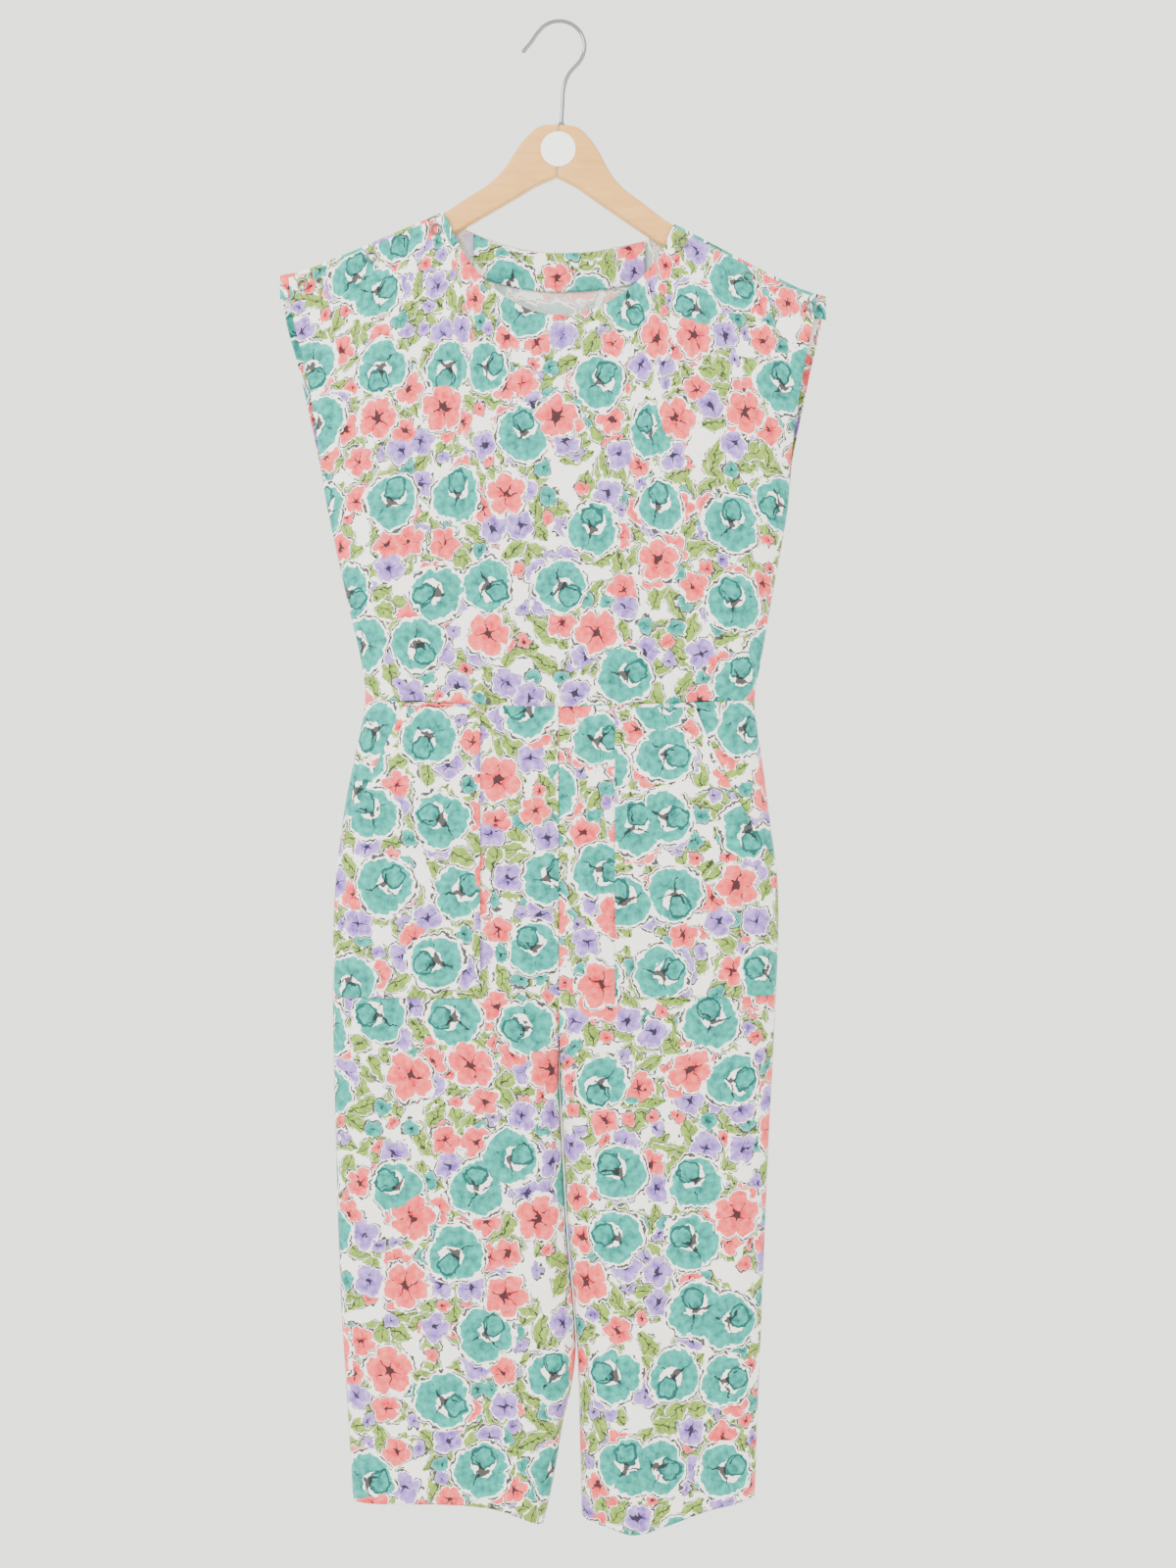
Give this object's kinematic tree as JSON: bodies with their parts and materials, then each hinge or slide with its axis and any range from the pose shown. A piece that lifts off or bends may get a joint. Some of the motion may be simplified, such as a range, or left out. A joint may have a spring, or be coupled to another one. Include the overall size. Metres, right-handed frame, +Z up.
{
  "type": "romper on a wooden hanger",
  "caption": "Sleeveless floral romper with patch pockets, shoulder snaps and calf-length legs, hung on a wooden hanger with a wire hook.",
  "frame": {"origin": "inner crown of the hanger's hook, where it hangs from a rail or peg", "axes": "+Z up, front towards -Y, +X towards the wearer's left"},
  "size_m": [0.4937, 0.0535, 1.3636],
  "materials": {
    "printed_cotton": "matt plain-weave cotton with an allover print of teal, coral and lilac flowers and green leaves on white",
    "beech": "pale clear-lacquered wood",
    "chrome_wire": "bright chromed steel wire",
    "silver_ring": "silver open-ring snaps",
    "white_sticker": "blank matt white disc"
  },
  "bodies": {
    "root": {"bodice_front": "printed_cotton", "bodice_back": "printed_cotton", "back_neck_facing": "printed_cotton", "shoulder_extension_right": "printed_cotton", "shoulder_extension_left": "printed_cotton", "trouser_front_right": "printed_cotton", "trouser_back_right": "printed_cotton", "pocket_right": "printed_cotton", "trouser_front_left": "printed_cotton", "trouser_back_left": "printed_cotton", "pocket_left": "printed_cotton", "snap_right_1": "silver_ring", "snap_right_2": "silver_ring", "snap_right_3": "silver_ring", "hanger_arm_right": "beech", "snap_left_1": "silver_ring", "snap_left_2": "silver_ring", "snap_left_3": "silver_ring", "hanger_arm_left": "beech", "hanger_badge": "white_sticker", "hanger_hook": "chrome_wire"}
  },
  "joints": []
}
